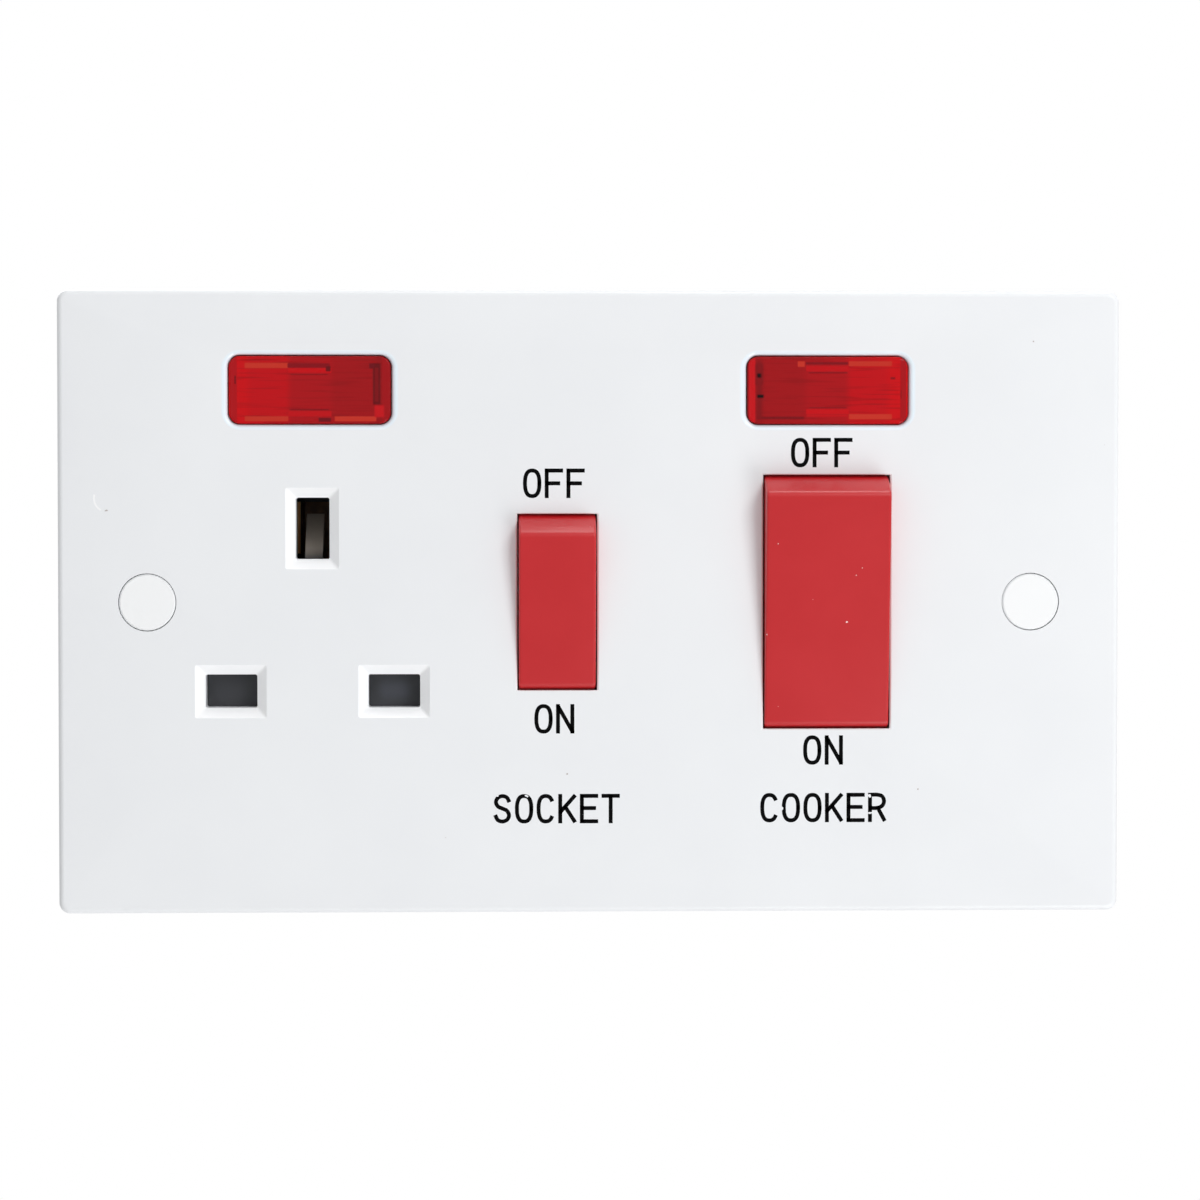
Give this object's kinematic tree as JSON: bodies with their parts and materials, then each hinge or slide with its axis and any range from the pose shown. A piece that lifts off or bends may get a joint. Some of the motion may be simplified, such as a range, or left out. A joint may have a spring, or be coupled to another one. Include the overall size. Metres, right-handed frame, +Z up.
{
  "type": "cooker control unit",
  "caption": "Twin-gang wall plate with a large and a small red rocker switch, a shuttered three-pin outlet, red neon lenses and rear cable terminals.",
  "frame": {"origin": "midway between the two fixing holes, on the plane where the plate meets the wall", "axes": "+X right and +Z up as the unit hangs on a wall and is seen from the room, +Y into the wall"},
  "size_m": [0.146, 0.0399, 0.086],
  "materials": {
    "white_urea": "moulded urea, semi-gloss, cool white",
    "cap_white": "moulded, semi-gloss, white",
    "red_rocker": "moulded, semi-gloss, red",
    "red_lens": "clear red acrylic",
    "housing_grey": "moulded phenolic, matt, near black",
    "shutter_grey": "moulded, matt, dark grey",
    "cover_black": "moulded, matt, black",
    "brass": "pressed and machined brass",
    "silver_contact": "pressed brass strip with silver contact buttons",
    "spring_steel": "spring steel wire",
    "screw_steel": "zinc plated steel",
    "nylon_white": "moulded nylon",
    "holder_white": "moulded, matt white",
    "lamp_glass": "clear glass tube",
    "resistor_body": "lacquered ceramic body",
    "lead_red": "insulated wire"
  },
  "bodies": {
    "unit": {"cooker_line_contact": "silver_contact", "cooker_neon_holder": "holder_white", "cooker_neon_lamp": "lamp_glass", "cooker_neon_leads": "lead_red", "cooker_neon_lens": "red_lens", "cooker_neon_resistor": "resistor_body", "cooker_neutral_contact": "silver_contact", "cooker_terminal_screws": "screw_steel", "earth_contact": "brass", "earth_terminal": "brass", "earth_terminal_screws": "screw_steel", "front_plate": "white_urea", "housing_screws": "screw_steel", "left_screw_cap": "cap_white", "line_busbar": "brass", "load_line_terminal": "brass", "load_neutral_terminal": "brass", "neutral_busbar": "brass", "neutral_link": "brass", "rear_housing": "housing_grey", "right_screw_cap": "cap_white", "shutter_cover": "cover_black", "shutter_spring": "spring_steel", "socket_line_contact": "brass", "socket_neon_holder": "holder_white", "socket_neon_lamp": "lamp_glass", "socket_neon_leads": "lead_red", "socket_neon_lens": "red_lens", "socket_neon_resistor": "resistor_body", "socket_neutral_contact": "brass", "supply_line_terminal": "brass", "supply_neutral_terminal": "brass"},
    "cooker_rocker_body": {"cooker_rocker": "red_rocker", "cooker_line_spring": "spring_steel", "cooker_neutral_spring": "spring_steel"},
    "cooker_line_plunger_body": {"cooker_line_plunger": "nylon_white"},
    "cooker_line_rocking_contact_body": {"cooker_line_rocking_contact": "silver_contact"},
    "cooker_neutral_plunger_body": {"cooker_neutral_plunger": "nylon_white"},
    "cooker_neutral_rocking_contact_body": {"cooker_neutral_rocking_contact": "silver_contact"},
    "socket_rocker_body": {"socket_rocker": "red_rocker", "socket_line_spring": "spring_steel", "socket_neutral_spring": "spring_steel"},
    "socket_line_plunger_body": {"socket_line_plunger": "nylon_white"},
    "socket_line_rocking_contact_body": {"socket_line_rocking_contact": "silver_contact"},
    "socket_neutral_plunger_body": {"socket_neutral_plunger": "nylon_white"},
    "socket_neutral_rocking_contact_body": {"socket_neutral_rocking_contact": "silver_contact"},
    "shutter_body": {"shutter": "shutter_grey"}
  },
  "joints": [
    {"name": "cooker_switch", "type": "hinge", "parent": "unit", "child": "cooker_rocker_body", "pos_m": [0.0323, -0.0035, 0], "axis": [1, 0, 0], "range_deg": [-14, 0]},
    {"name": "cooker_line_plunge", "type": "slide", "parent": "cooker_rocker_body", "child": "cooker_line_plunger_body", "axis": [0, -0.9925, -0.1219], "range_m": [0, 0.0006], "stiffness_N_per_m": 600, "springref_m": -0.005, "deforming": ["cooker_line_spring"]},
    {"name": "cooker_line_rock", "type": "hinge", "parent": "unit", "child": "cooker_line_rocking_contact_body", "pos_m": [0.0268, 0.0092, 0], "axis": [1, 0, 0], "range_deg": [0, 12]},
    {"name": "cooker_neutral_plunge", "type": "slide", "parent": "cooker_rocker_body", "child": "cooker_neutral_plunger_body", "axis": [0, -0.9925, -0.1219], "range_m": [0, 0.0006], "stiffness_N_per_m": 600, "springref_m": -0.005, "deforming": ["cooker_neutral_spring"]},
    {"name": "cooker_neutral_rock", "type": "hinge", "parent": "unit", "child": "cooker_neutral_rocking_contact_body", "pos_m": [0.0378, 0.0092, 0], "axis": [1, 0, 0], "range_deg": [0, 12]},
    {"name": "socket_switch", "type": "hinge", "parent": "unit", "child": "socket_rocker_body", "pos_m": [-0.00455, -0.0035, 0], "axis": [1, 0, 0], "range_deg": [-16, 0]},
    {"name": "socket_line_plunge", "type": "slide", "parent": "socket_rocker_body", "child": "socket_line_plunger_body", "axis": [0, -0.9903, -0.1392], "range_m": [0, 0.0006], "stiffness_N_per_m": 600, "springref_m": -0.005, "deforming": ["socket_line_spring"]},
    {"name": "socket_line_rock", "type": "hinge", "parent": "unit", "child": "socket_line_rocking_contact_body", "pos_m": [-0.00745, 0.0092, 0], "axis": [1, 0, 0], "range_deg": [0, 12]},
    {"name": "socket_neutral_plunge", "type": "slide", "parent": "socket_rocker_body", "child": "socket_neutral_plunger_body", "axis": [0, -0.9903, -0.1392], "range_m": [0, 0.0006], "stiffness_N_per_m": 600, "springref_m": -0.005, "deforming": ["socket_neutral_spring"]},
    {"name": "socket_neutral_rock", "type": "hinge", "parent": "unit", "child": "socket_neutral_rocking_contact_body", "pos_m": [-0.00165, 0.0092, 0], "axis": [1, 0, 0], "range_deg": [0, 12]},
    {"name": "shutter_slide", "type": "slide", "parent": "unit", "child": "shutter_body", "axis": [0, 0, -1], "range_m": [0, 0.006], "stiffness_N_per_m": 120, "springref_m": -0.004, "deforming": ["shutter_spring"]}
  ],
  "couplings": [
    {"joint": "cooker_line_rock", "follows": "cooker_switch", "ratio": -0.85714},
    {"joint": "cooker_neutral_rock", "follows": "cooker_switch", "ratio": -0.85714},
    {"joint": "socket_line_rock", "follows": "socket_switch", "ratio": -0.75},
    {"joint": "socket_neutral_rock", "follows": "socket_switch", "ratio": -0.75}
  ]
}
